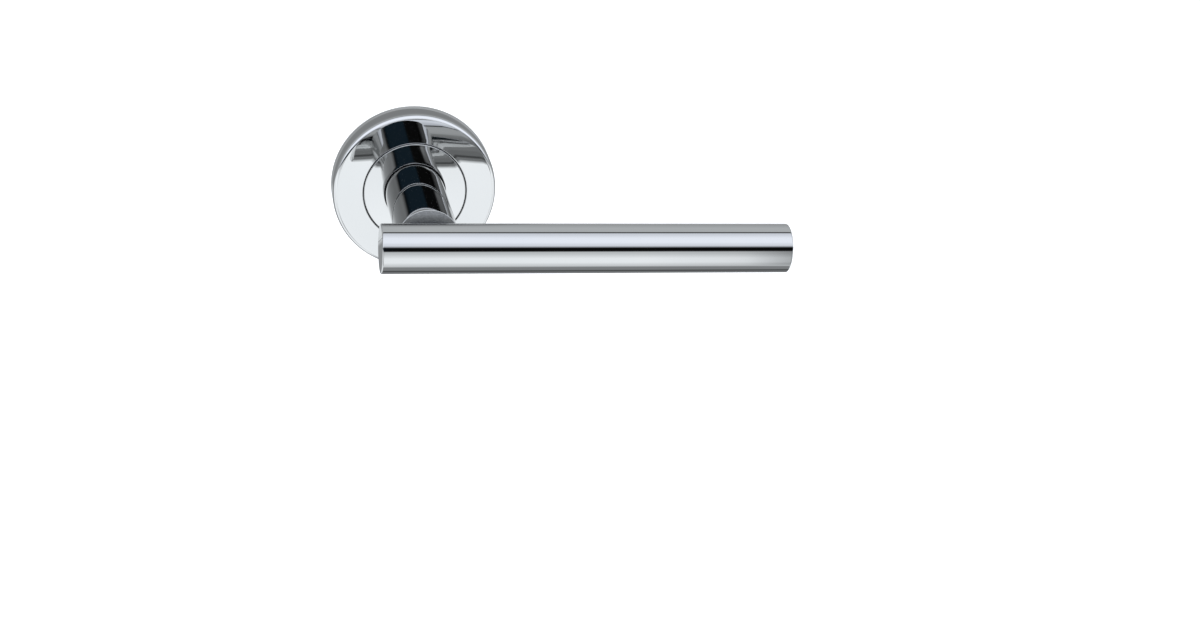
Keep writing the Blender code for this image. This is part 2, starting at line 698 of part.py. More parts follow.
chrome = material("polished_chrome", (0.80, 0.81, 0.83), 0.04, 1.0)
steel = material("zinc_plated_steel", (0.60, 0.61, 0.62), 0.35, 1.0)
spring_steel = material("spring_steel", (0.30, 0.31, 0.33), 0.40, 1.0)
brass = material("brass", (0.72, 0.55, 0.28), 0.35, 1.0)
nylon = material("nylon", (0.75, 0.75, 0.72), 0.55, 0.0)

facing_out = (pi / 2, 0, 0)
rose_axis = axis_empty("rose_axis", rotation=facing_out)
cover_axis = axis_empty("cover_axis", rotation=facing_out)
lever_axis = axis_empty("lever_axis", rotation=facing_out)
bar_axis = axis_empty("bar_axis", location=(0, 0, BAR_DEPTH), rotation=(0, pi / 2, 0), parent=lever_axis)

make_rose_cover(cover_axis)
make_backplate(rose_axis)
make_face_disc(rose_axis)
make_bushes(rose_axis)
make_stop_pins(rose_axis)
make_return_spring(rose_axis)
make_disc_screws(rose_axis)
make_fixings(rose_axis)
make_snap_ring(rose_axis)
make_neck(lever_axis)
make_spindle(lever_axis)
make_grub_screw(lever_axis)
make_bar_screw(lever_axis)
make_spring_driver(lever_axis)
make_circlip(lever_axis)
tube("thrust_washer", running_bore, washer_radius, washer_start, washer_start + WASHER_THICKNESS, steel, lever_axis)
make_bar(bar_axis, lever_axis)
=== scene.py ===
"""Looks for the lever door handle on a round rose: polished chrome pieces, plated fixings, pale studio."""

from math import cos, pi, radians, sin, sqrt

import bmesh
import bpy
from mathutils import Matrix, Vector


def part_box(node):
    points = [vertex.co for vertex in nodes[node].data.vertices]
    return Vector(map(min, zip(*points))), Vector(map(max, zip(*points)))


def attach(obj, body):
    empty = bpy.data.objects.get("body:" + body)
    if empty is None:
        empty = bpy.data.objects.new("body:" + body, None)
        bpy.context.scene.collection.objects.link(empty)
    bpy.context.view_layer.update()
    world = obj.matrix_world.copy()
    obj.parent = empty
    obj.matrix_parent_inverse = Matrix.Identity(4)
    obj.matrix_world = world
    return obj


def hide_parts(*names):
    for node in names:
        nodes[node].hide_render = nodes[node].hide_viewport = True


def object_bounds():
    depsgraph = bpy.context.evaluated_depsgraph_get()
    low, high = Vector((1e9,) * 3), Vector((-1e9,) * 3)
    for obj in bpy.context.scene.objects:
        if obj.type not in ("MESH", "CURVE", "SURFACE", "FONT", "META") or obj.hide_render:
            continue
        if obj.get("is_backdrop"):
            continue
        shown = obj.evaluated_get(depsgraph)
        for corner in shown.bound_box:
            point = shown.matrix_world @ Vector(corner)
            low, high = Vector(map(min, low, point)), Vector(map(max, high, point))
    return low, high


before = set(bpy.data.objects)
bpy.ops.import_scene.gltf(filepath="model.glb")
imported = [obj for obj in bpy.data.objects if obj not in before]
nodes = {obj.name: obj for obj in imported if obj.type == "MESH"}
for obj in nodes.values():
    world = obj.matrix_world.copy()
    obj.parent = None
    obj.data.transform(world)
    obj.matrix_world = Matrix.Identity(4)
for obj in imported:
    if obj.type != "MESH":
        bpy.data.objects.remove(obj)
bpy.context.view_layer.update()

MM = 0.001
# Rose axis: a piece's own Z is the depth in front of the door, and its own Y is up.
TO_ROSE = Matrix.Rotation(pi / 2, 4, "X")


# ---------------------------------------------------------------- camera
def make_camera():
    data = bpy.data.cameras.new("camera")
    data.sensor_width = 36.0
    data.lens = 56.294
    data.clip_start = 0.02
    data.clip_end = 100
    camera = bpy.data.objects.new("camera", data)
    bpy.context.scene.collection.objects.link(camera)
    yaw, pitch, roll = radians(13.007), radians(24.249), radians(4.889)
    forward = Vector((sin(yaw) * cos(pitch), cos(yaw) * cos(pitch), -sin(pitch)))
    level = Vector((cos(yaw), -sin(yaw), 0))
    above = level.cross(forward)
    right = cos(roll) * level + sin(roll) * above
    up = cos(roll) * above - sin(roll) * level
    turn = Matrix((right, up, -forward)).transposed().to_4x4()
    camera.matrix_world = Matrix.Translation((-0.06533, -0.56707, 0.21487)) @ turn
    bpy.context.scene.camera = camera


make_camera()


# ---------------------------------------------------------------- node helpers
class Nodes:
    """Short calls for building a node tree."""

    def __init__(self, tree):
        self.tree = tree

    def add(self, kind, **values):
        node = self.tree.nodes.new(kind)
        for key, value in values.items():
            setattr(node, key, value)
        return node

    def link(self, source, target):
        self.tree.links.new(source, target)

    def feed(self, socket, value):
        """A number, a colour or another socket into a socket."""
        if isinstance(value, (int, float, tuple)):
            socket.default_value = value
        else:
            self.link(value, socket)

    def math(self, operation, first, second=None, third=None, clamp=False):
        node = self.add("ShaderNodeMath", operation=operation, use_clamp=clamp)
        for socket, value in zip(node.inputs, (first, second, third)):
            if value is not None:
                self.feed(socket, value)
        return node.outputs[0]

    def ramp(self, source, stops, interpolation="LINEAR"):
        """Stops are (position, colour) or (position, number)."""
        node = self.add("ShaderNodeValToRGB")
        node.color_ramp.interpolation = interpolation
        elements = node.color_ramp.elements
        while len(elements) > 1:
            elements.remove(elements[-1])
        for number, (position, colour) in enumerate(stops):
            element = elements[0] if number == 0 else elements.new(position)
            element.position = position
            element.color = colour if isinstance(colour, tuple) else (colour, colour, colour, 1)
        self.link(source, node.inputs[0])
        return node.outputs[0]

    def mix(self, share, first, second):
        node = self.add("ShaderNodeMix", data_type="RGBA")
        self.feed(node.inputs[0], share)
        self.feed(node.inputs[6], first)
        self.feed(node.inputs[7], second)
        return node.outputs[2]

    def scaled(self, colour, share):
        node = self.add("ShaderNodeVectorMath", operation="SCALE")
        self.link(colour, node.inputs[0])
        self.feed(node.inputs["Scale"], share)
        return node.outputs[0]

    def noise(self, place, scale, detail=3, stretch=None):
        """Noise over object coordinates, in waves per metre. Stretch multiplies the three axes."""
        if stretch:
            mapping = self.add("ShaderNodeMapping")
            self.link(place, mapping.inputs["Vector"])
            mapping.inputs["Scale"].default_value = stretch
            place = mapping.outputs[0]
        node = self.add("ShaderNodeTexNoise")
        node.inputs["Scale"].default_value = scale
        node.inputs["Detail"].default_value = detail
        self.link(place, node.inputs["Vector"])
        return node.outputs["Fac"]

    def bump(self, height, distance, strength=1.0, normal=None):
        node = self.add("ShaderNodeBump")
        node.inputs["Distance"].default_value = distance
        node.inputs["Strength"].default_value = strength
        self.link(height, node.inputs["Height"])
        if normal is not None:
            self.link(normal, node.inputs["Normal"])
        return node.outputs[0]


# ---------------------------------------------------------------- studio
CHROME_SHARE = 0.66
GREY = (0.96, 1.0, 1.03)
COOL = (0.95, 1.0, 1.1)
SLATE = (0.01, 0.02, 0.03, 1)
# Panels parallel to the lever: lowest and highest angle round the X axis in degrees, 0 in front and 90 above,
# then brightness and tint. One panel fades into the next across the gap between them.
PANELS = (
    (-180, -160, 0.4, GREY),  # back wall, low
    (-140, -115, 0.25, GREY),  # its foot
    (-110, -100, 0.1, GREY),  # shadow line
    (-95, -75, 0.3, GREY),  # floor
    (-65, -60, 0.9, GREY),  # front panel, lower edge
    (-45, -25, 1.2, GREY),  # front panel
    (0, 5, 0.75, GREY),  # front panel, upper edge
    (10, 25, 0.005, GREY),  # dark flag
    (35, 40, 1.0, COOL),  # overhead panel, front edge
    (50, 70, 1.2, COOL),  # overhead panel
    (90, 95, 0.9, COOL),  # overhead panel, back edge
    (98, 102, 0.05, GREY),  # slit behind it
    (105, 130, 0.6, GREY),  # back wall, high
    (160, 180, 0.45, GREY),  # back wall
)


def glow(brightness, tint=GREY):
    return (*(brightness * part for part in tint), 1)


def studio_world():
    """Long soft panels that run parallel to the lever: bands by the angle round the X axis, 0 in front, 90 above."""
    world = bpy.data.worlds.new("studio")
    bpy.context.scene.world = world
    world.use_nodes = True
    tree = Nodes(world.node_tree)
    world.node_tree.nodes.clear()
    place = tree.add("ShaderNodeTexCoord")
    parts = tree.add("ShaderNodeSeparateXYZ")
    tree.link(place.outputs["Generated"], parts.inputs[0])
    ahead = tree.math("MULTIPLY", parts.outputs["Y"], -1)
    angle = tree.math("ARCTAN2", parts.outputs["Z"], ahead)
    share = tree.math("MULTIPLY_ADD", angle, 0.5 / pi, 0.5)
    across = tree.math("MULTIPLY_ADD", parts.outputs["X"], 0.5, 0.5)

    def by_angle(*stops):
        return tree.ramp(share, [((degrees_up + 180) / 360, value) for degrees_up, value in stops])

    def by_side(*stops):
        return tree.ramp(across, [((side + 1) / 2, value) for side, value in stops])

    stops = []
    for lowest, highest, brightness, tint in PANELS:
        stops += [(lowest, glow(brightness, tint)), (highest, glow(brightness, tint))]
    panels = by_angle(*stops)
    # The dark flag has a slate-blue left end.
    flag = by_angle((9, 0.0), (11, 1.0), (25, 1.0), (28, 0.0))
    flag_end = by_side((-1, 1.0), (0.06, 1.0), (0.1, 0.0))
    panels = tree.mix(tree.math("MULTIPLY", flag, flag_end), panels, SLATE)
    # Low on the left, and far out on the right, the studio is white.
    low = by_angle((-158, 0.0), (-140, 1.0), (-72, 1.0), (-62, 0.0))
    left = by_side((-1, 1.0), (-0.3, 1.0), (-0.12, 0.0), (0.34, 0.0), (0.44, 1.0), (1, 1.0))
    panels = tree.mix(tree.math("MULTIPLY", low, left), panels, glow(1.1))
    # The front panel fades towards both its ends, and the back wall is dimmer on the left.
    front = by_angle((-70, 0.0), (-62, 1.0), (10, 1.0), (14, 0.0))
    fade = by_side(
        (-1, 0.0), (-0.68, 0.0), (-0.56, 0.72), (-0.42, 0.72), (-0.26, 0.6), (-0.08, 0.1),
        (0.03, 0.0), (0.23, 0.0), (0.28, 0.12), (0.32, 0.75), (0.36, 0.9), (0.56, 0.9), (0.68, 0.0), (1, 0.0),
    )
    back = by_angle((-180, 0.1), (-145, 0.1), (-130, 0.0), (145, 0.0), (160, 0.1))
    dim = tree.math("MULTIPLY", back, by_side((-1, 1.0), (-0.04, 1.0), (0.04, 0.0)))
    loss = tree.math("ADD", tree.math("MULTIPLY", front, fade), dim)
    panels = tree.scaled(panels, tree.math("SUBTRACT", 1, loss))

    lit = tree.add("ShaderNodeBackground")
    tree.link(panels, lit.inputs["Color"])
    plain = tree.add("ShaderNodeBackground")
    plain.inputs["Color"].default_value = (1, 1, 1, 1)
    plain.inputs["Strength"].default_value = 1.0
    path = tree.add("ShaderNodeLightPath")
    mix = tree.add("ShaderNodeMixShader")
    tree.link(path.outputs["Is Camera Ray"], mix.inputs[0])
    tree.link(lit.outputs[0], mix.inputs[1])
    tree.link(plain.outputs[0], mix.inputs[2])
    out = tree.add("ShaderNodeOutputWorld")
    tree.link(mix.outputs[0], out.inputs[0])


def studio_floor():
    mesh = bpy.data.meshes.new("floor")
    half, level = 30.0, -0.6
    corners = [(-half, -half, level), (half, -half, level), (half, half, level), (-half, half, level)]
    mesh.from_pydata(corners, [], [(0, 1, 2, 3)])
    floor = bpy.data.objects.new("floor", mesh)
    bpy.context.scene.collection.objects.link(floor)
    made = bpy.data.materials.new("floor_paper")
    made.use_nodes = True
    shader = made.node_tree.nodes["Principled BSDF"]
    shader.inputs["Base Color"].default_value = (0.9, 0.9, 0.9, 1)
    shader.inputs["Roughness"].default_value = 1.0
    shader.inputs["Emission Color"].default_value = (1, 1, 1, 1)
    shader.inputs["Emission Strength"].default_value = 0.6
    mesh.materials.append(made)
    floor.visible_glossy = False
    floor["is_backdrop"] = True


# A glowing ring that paints the door's shade round the rose into the chrome's reflections.
SHADE_RING_RADII = (26.3 * MM, 32 * MM, 38 * MM, 46 * MM)
SHADE_RING_DEPTH = 0.3 * MM
SHADE_RING_SIDES = 96


def painted_shade_ring():
    """A glowing ring just round the rose, seen only in the rim's and the bar's mirror: painted shade of the door
    above, white below.
    """
    bm = bmesh.new()
    rows = []
    turns = [2 * pi * side / SHADE_RING_SIDES for side in range(SHADE_RING_SIDES)]
    for radius in SHADE_RING_RADII:
        rows.append([bm.verts.new((radius * cos(turn), SHADE_RING_DEPTH, radius * sin(turn))) for turn in turns])
    for inner, outer_row in zip(rows, rows[1:]):
        for side in range(SHADE_RING_SIDES):
            after = (side + 1) % SHADE_RING_SIDES
            bm.faces.new((inner[side], inner[after], outer_row[after], outer_row[side]))
    mesh = bpy.data.meshes.new("painted_shade_ring")
    bm.to_mesh(mesh)
    bm.free()
    made = bpy.data.materials.new("painted_wall_shade")
    made.use_nodes = True
    tree = Nodes(made.node_tree)
    made.node_tree.nodes.clear()
    parts = tree.add("ShaderNodeSeparateXYZ")
    tree.link(tree.add("ShaderNodeTexCoord").outputs["Object"], parts.inputs[0])
    squared = tree.math("MULTIPLY", parts.outputs["X"], parts.outputs["X"])
    radius = tree.math("SQRT", tree.math("MULTIPLY_ADD", parts.outputs["Z"], parts.outputs["Z"], squared))
    reach = tree.math("MULTIPLY", radius, 20)
    # Painted shade: dim above the rose, standing in for the door's shade beside the rim.
    above = tree.ramp(reach, [(0.55, glow(0.25)), (0.9, glow(0.4))])
    below = tree.ramp(reach, [(0.55, glow(1.0)), (0.6, glow(0.3))])
    light = tree.add("ShaderNodeEmission")
    lower = tree.ramp(tree.math("MULTIPLY_ADD", parts.outputs["Z"], 50, 0.5), [(0.35, 1.0), (0.5, 0.0)])
    tree.link(tree.mix(lower, above, below), light.inputs["Color"])
    tree.link(light.outputs[0], tree.add("ShaderNodeOutputMaterial").inputs[0])
    mesh.materials.append(made)
    ring = bpy.data.objects.new("painted_shade_ring", mesh)
    bpy.context.scene.collection.objects.link(ring)
    for kind in ("camera", "diffuse", "shadow", "transmission", "volume_scatter"):
        setattr(ring, "visible_" + kind, False)
    ring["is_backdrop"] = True


def studio_light():
    """One broad soft light from the upper left, left out of the mirror reflections."""
    data = bpy.data.lights.new("soft_light", "AREA")
    data.shape = "DISK"
    data.size = 0.9
    data.energy = 6.0
    light = bpy.data.objects.new("soft_light", data)
    bpy.context.scene.collection.objects.link(light)
    light.location = (-0.5, -0.9, 0.9)
    light.rotation_euler = (-light.location).to_track_quat("-Z", "Y").to_euler()
    light.visible_glossy = False


studio_world()
studio_floor()
painted_shade_ring()
studio_light()
scene = bpy.context.scene
scene.view_settings.view_transform = "Standard"


# ---------------------------------------------------------------- materials
def blank(name, metallic=1.0):
    made = bpy.data.materials.new(name)
    made.use_nodes = True
    shader = made.node_tree.nodes["Principled BSDF"]
    shader.inputs["Metallic"].default_value = metallic
    tree = Nodes(made.node_tree)
    return made, tree, shader.inputs, tree.add("ShaderNodeTexCoord").outputs["Object"]


def polished_chrome(name, share):
    """Mirror chrome: faint haze in patches and a few hairline polishing marks."""
    made, tree, inputs, place = blank(name)
    haze = tree.noise(place, 60)
    dim = (share - 0.006, share, share + 0.002, 1)
    bright = (share + 0.004, share + 0.006, share + 0.005, 1)
    colour = tree.ramp(haze, [(0.3, dim), (0.7, bright)])
    tree.link(colour, inputs["Base Color"])
    hair = tree.ramp(tree.noise(place, 700, 2, (0.12, 1, 1)), [(0.66, 0.0), (0.7, 1.0)])
    smudge = tree.math("MULTIPLY_ADD", haze, 0.03, 0.013)
    tree.link(tree.math("MULTIPLY_ADD", hair, 0.02, smudge), inputs["Roughness"])
    return made


def matt_chrome():
    """Plating over an unpolished face: grey, soft, with fine turning marks."""
    made, tree, inputs, place = blank("unpolished_plating")
    cloud = tree.noise(place, 350, 4)
    tree.link(tree.ramp(cloud, [(0.3, (0.2, 0.205, 0.21, 1)), (0.7, (0.3, 0.305, 0.31, 1))]), inputs["Base Color"])
    tree.link(tree.math("MULTIPLY_ADD", cloud, 0.2, 0.32), inputs["Roughness"])
    tree.link(tree.bump(tree.noise(place, 2500, 3), 0.00001), inputs["Normal"])
    return made


def painted_shade_gap():
    """Walls of the narrow joints: painted shade, near black and dull, holding a little grime."""
    made, tree, inputs, place = blank("painted_shade_joint", 0.6)
    cloud = tree.noise(place, 500, 3)
    tree.link(tree.ramp(cloud, [(0.3, (0.015, 0.016, 0.018, 1)), (0.7, (0.04, 0.04, 0.042, 1))]), inputs["Base Color"])
    tree.link(tree.math("MULTIPLY_ADD", cloud, 0.2, 0.5), inputs["Roughness"])
    return made


def shaded_turned_face():
    """Machined end of the neck: concentric tool marks under thin plating, darkened as painted shade and reflection of
    the bar in front of it.
    """
    made, tree, inputs, place = blank("turned_end_painted_shade")
    parts = tree.add("ShaderNodeSeparateXYZ")
    tree.link(place, parts.inputs[0])
    squared = tree.math("MULTIPLY", parts.outputs["X"], parts.outputs["X"])
    radius = tree.math("SQRT", tree.math("MULTIPLY_ADD", parts.outputs["Z"], parts.outputs["Z"], squared))
    rings = tree.math("SINE", tree.math("MULTIPLY", radius, 60000))
    cloud = tree.noise(place, 900, 3)
    # Painted shade: the end's plating is far darker than the polished chrome, for the bar in front of it.
    tree.link(tree.ramp(cloud, [(0.3, (0.33, 0.335, 0.335, 1)), (0.7, (0.42, 0.425, 0.425, 1))]), inputs["Base Color"])
    tree.link(tree.math("MULTIPLY_ADD", cloud, 0.12, 0.16), inputs["Roughness"])
    tree.link(tree.bump(rings, 0.000002), inputs["Normal"])
    return made


def zinc_steel(name="zinc_plate", stretch=None):
    """Zinc-plated steel: bluish grey with spangle, a fine grain, and bright worn edges."""
    made, tree, inputs, place = blank(name)
    cells = tree.add("ShaderNodeTexVoronoi")
    cells.inputs["Scale"].default_value = 700
    tree.link(place, cells.inputs["Vector"])
    spangle = tree.math("MULTIPLY_ADD", cells.outputs["Color"], 0.12, -0.06)
    cloud = tree.noise(place, 180, 5)
    mottle = tree.math("ADD", cloud, spangle)
    plated = tree.ramp(
        mottle, [(0.3, (0.34, 0.355, 0.375, 1)), (0.55, (0.5, 0.515, 0.53, 1)), (0.75, (0.6, 0.6, 0.58, 1))]
    )
    edges = tree.add("ShaderNodeNewGeometry").outputs["Pointiness"]
    worn = tree.ramp(edges, [(0.52, 0.0), (0.58, 1.0)])
    tree.link(tree.mix(worn, plated, (0.72, 0.72, 0.71, 1)), inputs["Base Color"])
    grain = tree.noise(place, 1800, 3, stretch)
    rough = tree.math("MULTIPLY_ADD", grain, 0.16, tree.math("MULTIPLY_ADD", mottle, 0.2, 0.14))
    tree.link(rough, inputs["Roughness"])
    tree.link(tree.bump(grain, 0.00002), inputs["Normal"])
    return made


def dark_spring_steel():
    """Oil-blackened spring steel with drawn lines and rubbed bright spots."""
    made, tree, inputs, place = blank("blackened_spring_steel")
    cloud = tree.noise(place, 260, 4)
    tree.link(
        tree.ramp(cloud, [(0.3, (0.07, 0.075, 0.085, 1)), (0.6, (0.13, 0.135, 0.15, 1)), (0.8, (0.3, 0.3, 0.31, 1))]),
        inputs["Base Color"],
    )
    tree.link(tree.math("MULTIPLY_ADD", cloud, 0.25, 0.2), inputs["Roughness"])
    tree.link(tree.bump(tree.noise(place, 3000, 2), 0.00001), inputs["Normal"])
    return made


def turned_brass():
    """Turned brass: warm, slightly tarnished, with fine rings along the bar's axis."""
    made, tree, inputs, place = blank("turned_brass")
    cloud = tree.noise(place, 220, 4)
    tree.link(
        tree.ramp(cloud, [(0.3, (0.55, 0.38, 0.16, 1)), (0.65, (0.74, 0.55, 0.27, 1))]), inputs["Base Color"]
    )
    tree.link(tree.math("MULTIPLY_ADD", cloud, 0.22, 0.16), inputs["Roughness"])
    tree.link(tree.bump(tree.noise(place, 1500, 2, (4, 0.2, 0.2)), 0.00001), inputs["Normal"])
    return made


def moulded_nylon():
    """Off-white nylon: faint flow marks, a fine pitted skin, darker where grease has got to it."""
    made, tree, inputs, place = blank("moulded_nylon", 0.0)
    cloud = tree.noise(place, 150, 4)
    tree.link(
        tree.ramp(cloud, [(0.3, (0.62, 0.6, 0.55, 1)), (0.6, (0.76, 0.75, 0.71, 1))]), inputs["Base Color"]
    )
    tree.link(tree.math("MULTIPLY_ADD", cloud, 0.2, 0.36), inputs["Roughness"])
    tree.link(tree.bump(tree.noise(place, 2200, 3), 0.00002), inputs["Normal"])
    return made


chrome = polished_chrome("polished_chrome_lever", CHROME_SHARE)
# The rose's copy of the chrome is brighter than the lever's: painted light on the rose.
lit_rose_chrome = polished_chrome("polished_chrome_rose_lit", 0.735)
matt = matt_chrome()
# The joint finish is painted shade for the narrow joints and the disc's recess.
shaded_gap = painted_shade_gap()
machined_shaded = shaded_turned_face()
zinc = zinc_steel()
brushed_zinc = zinc_steel("zinc_plate_brushed", (0.08, 1, 1))
spring_steel = dark_spring_steel()
brass = turned_brass()
nylon = moulded_nylon()


# ---------------------------------------------------------------- shapes
def arc(centre, radius, start, end, steps):
    """Points round an arc of an outline, both ends included, in degrees."""
    points = []
    for step in range(steps + 1):
        angle = radians(start + (end - start) * step / steps)
        points.append((centre[0] + radius * cos(angle), centre[1] + radius * sin(angle)))
    return points


def loft(name, rings, finishes, place, closed=False, sharp=30, dull=None):
    """A skin over rings of points, each ring one point or the same number. dull picks each face's finish by number."""
    bm = bmesh.new()
    made = [[bm.verts.new(point) for point in ring] for ring in rings]
    sides = max(len(ring) for ring in made)
    pairs = list(zip(made, made[1:]))
    if closed:
        pairs.append((made[-1], made[0]))
    for low, high in pairs:
        for side in range(sides):
            after = (side + 1) % sides
            corners = [low[side % len(low)], low[after % len(low)], high[after % len(high)], high[side % len(high)]]
            unique = list(dict.fromkeys(corners))
            if len(unique) > 2:
                bm.faces.new(unique)
    bmesh.ops.recalc_face_normals(bm, faces=bm.faces)
    if dull:
        for face in bm.faces:
            middle = face.calc_center_median()
            face.material_index = dull(sqrt(middle.x**2 + middle.y**2), middle.z)
    mesh = bpy.data.meshes.new(name)
    bm.to_mesh(mesh)
    bm.free()
    mesh.shade_smooth()
    mesh.set_sharp_from_angle(angle=radians(sharp))
    mesh.transform(place)
    for finish in finishes:
        mesh.materials.append(finish)
    piece = bpy.data.objects.new(name, mesh)
    bpy.context.scene.collection.objects.link(piece)
    return piece


def circle(radius, height, sides):
    if radius < 1e-7:
        return [(0, 0, height)]
    turns = [2 * pi * side / sides for side in range(sides)]
    return [(radius * cos(angle), radius * sin(angle), height) for angle in turns]


def lathe(name, outline, finishes, place, sides=128, sharp=30, dull=None):
    """A turned piece from (radius, height) points. An outline that starts on the axis also ends on it."""
    rings = [circle(radius, height, sides) for radius, height in outline]
    return loft(name, rings, finishes, place, outline[0][0] > 1e-7, sharp, dull)


def prism(outline, low, high, place, top_scale=1.0):
    """A tool for cutting: a prism over an outline, whose top end may be larger."""
    foot = [(x, y, low) for x, y in outline]
    head = [(x * top_scale, y * top_scale, high) for x, y in outline]
    return loft("tool", [[(0, 0, low)], foot, head, [(0, 0, high)]], [], place)


def cut(piece, *tools):
    """Cuts the tools out of the piece for good, then drops them."""
    for tool in tools:
        modifier = piece.modifiers.new("cut", "BOOLEAN")
        modifier.solver = "EXACT"
        modifier.object = tool
    graph = bpy.context.evaluated_depsgraph_get()
    mesh = bpy.data.meshes.new_from_object(piece.evaluated_get(graph))
    piece.modifiers.clear()
    piece.data = mesh
    for tool in tools:
        bpy.data.objects.remove(tool, do_unlink=True)
    mesh.shade_smooth()
    mesh.set_sharp_from_angle(angle=radians(30))


def sweep(name, path, radius, finish, place, sides=14):
    """Round wire along a path in its own plane, with closed ends."""
    path = [Vector(point) for point in path]
    rings = [[tuple(path[0])]]
    for number, point in enumerate(path):
        along = (path[min(number + 1, len(path) - 1)] - path[max(number - 1, 0)]).normalized()
        up = Vector((0, 0, 1))
        out = along.cross(up).normalized()
        lift = out.cross(along)
        turns = [2 * pi * side / sides for side in range(sides)]
        rings.append([tuple(point + radius * (cos(turn) * out + sin(turn) * lift)) for turn in turns])
    rings.append([tuple(path[-1])])
    return loft(name, rings, [finish], place)


def thread(radius, depth, pitch, low, high, sides, point=0.0):
    """Rings of a screw thread from low to high, narrowing to a point over the length given."""
    steps = round((high - low) / pitch * 8)
    rings = []
    for step in range(steps + 1):
        height = low + (high - low) * step / steps
        fade = max(0.0, min(1.0, (height - low) / pitch, (high - height) / pitch))
        body = min(1.0, 0.12 + 0.88 * (height - low) / point) if point else 1.0
        ring = []
        for side in range(sides):
            phase = (height / pitch - side / sides) % 1
            valley = min(1.0, 1.35 * abs(2 * phase - 1))
            reach = body * radius - depth * fade * valley * body
            ring.append((reach * cos(2 * pi * side / sides), reach * sin(2 * pi * side / sides), height))
        rings.append(ring)
    return rings


def cross(span, blade):
    """Outline of a cross-shaped driver recess."""
    near, far = blade / 2, span / 2
    quarter = [(far, -near), (far, near), (near, near)]
    outline = []
    for _ in range(4):
        outline += quarter
        quarter = [(-y, x) for x, y in quarter]
    return outline


def stands_for(piece, node, body):
    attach(piece, body)
    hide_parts(node)
    return piece


def outer(node):
    """Radius of a rose piece, and its lowest and highest depth in front of the door."""
    low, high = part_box(node)
    return (high.x - low.x) / 2, -high.y, -low.y


def off_axis(node):
    """Place of a piece that stands beside the rose's axis."""
    low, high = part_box(node)
    return TO_ROSE @ Matrix.Translation(((low.x + high.x) / 2, (low.z + high.z) / 2, 0))


# Rose cover
# SUPPORT: a narrow flat beside each round, which keeps its shading off the face. NEAR: slack for telling faces apart.
SUPPORT = 0.06 * MM
NEAR = 0.01 * MM
SLIDE_GAP = 0.28 * MM
cover_radius, _, cover_front = outer("rose_cover")
disc_radius, disc_back, disc_front = outer("face_disc")
cover_bore = disc_radius + SLIDE_GAP
WALL = 1.2 * MM
LIP_DEPTH = 2.4 * MM
# The rim is a slightly crowned bevel, with tighter rounds where it meets the wall and the face.
rim = arc((0, 0), 0.1 * MM, 90, 64, 4)
for radius, start, end, steps in ((2.0 * MM, 64, 32, 10), (2.6 * MM, 32, 0, 12)):
    shift = [rim[-1][i] - radius * (cos, sin)[i](radians(start)) for i in (0, 1)]
    rim += arc(shift, radius, start, end, steps)[1:]
rim = [(cover_radius - rim[-1][0] + x, cover_front - rim[0][1] + y) for x, y in reversed(rim)]
LIP = 0.22 * MM
FACE_SINK = 0.2 * MM
DISC_CROWN = 0.09 * MM
outline = [(cover_radius - WALL, 0), (cover_radius - 0.25 * MM, 0)]
outline += [(cover_radius - 0.07 * MM, 0.07 * MM), (cover_radius, 0.25 * MM)]
outline += [(cover_radius, rim[0][1] - SUPPORT)] + rim + [(rim[-1][0] - SUPPORT, cover_front)]
face_start, face_end = rim[-1][0] - SUPPORT, cover_bore + LIP
for step in range(1, 9):
    share = step / 8
    outline.append((face_start + (face_end + SUPPORT - face_start) * share, cover_front - FACE_SINK * share))
seam_front = cover_front - FACE_SINK
outline += arc((cover_bore + LIP, seam_front - LIP), LIP, 90, 180, 6)
outline += [(cover_bore, cover_front - LIP_DEPTH), (cover_bore + WALL, cover_front - LIP_DEPTH)]
outline += [(cover_bore + WALL, cover_front - WALL), (cover_radius - WALL, cover_front - WALL)]


def cover_finish(radius, height):
    """Number of a face's finish: 1 on the bore's wall, painted dark as shade, 2 on the unpolished inside, else 0."""
    if radius < cover_bore + NEAR and height < seam_front - LIP:
        return 1
    inside = radius < cover_radius - WALL + NEAR and height < cover_front - WALL + NEAR
    return 2 * inside


cover = lathe("rose_cover_shell", outline, [lit_rose_chrome, shaded_gap, matt], TO_ROSE, 192, dull=cover_finish)
stands_for(cover, "rose_cover", "cover")

# Centre disc, with a shallow recess that the neck's foot turns in
CLEAR = 0.25 * MM
HOLE_EDGE = 0.12 * MM
RECESS_STEP = 0.42 * MM
RECESS_DEPTH = 0.6 * MM
bush_radius = outer("front_bush")[0] + CLEAR
recess_radius = bush_radius + RECESS_STEP
recess_floor = disc_front - RECESS_DEPTH
disc_top = disc_front - FACE_SINK
outline = [(bush_radius, disc_back), (disc_radius, disc_back), (disc_radius, disc_top - LIP)]
outline += arc((disc_radius - LIP, disc_top - LIP), LIP, 0, 90, 6)[1:]
crown_start = disc_radius - LIP - SUPPORT
crown_end = recess_radius + HOLE_EDGE
for step in range(9):
    radius = crown_start + (crown_end - crown_start) * step / 8
    crown = DISC_CROWN * (1 - (radius**2 - crown_end**2) / (crown_start**2 - crown_end**2))
    outline.append((radius, disc_top + crown))
outline += arc((crown_end, disc_top + DISC_CROWN - HOLE_EDGE), HOLE_EDGE, 90, 180, 5)[1:]
outline += [(recess_radius, recess_floor), (bush_radius, recess_floor)]


def disc_finish(radius, height):
    """Number of a face's finish: 1, with painted shade, on the rim's wall and in the recess, else 0."""
    return int(height < disc_top - LIP or radius < recess_radius + NEAR)


disc = lathe("centre_disc", outline, [lit_rose_chrome, shaded_gap], TO_ROSE, 160, dull=disc_finish)
stands_for(disc, "face_disc", "rose")

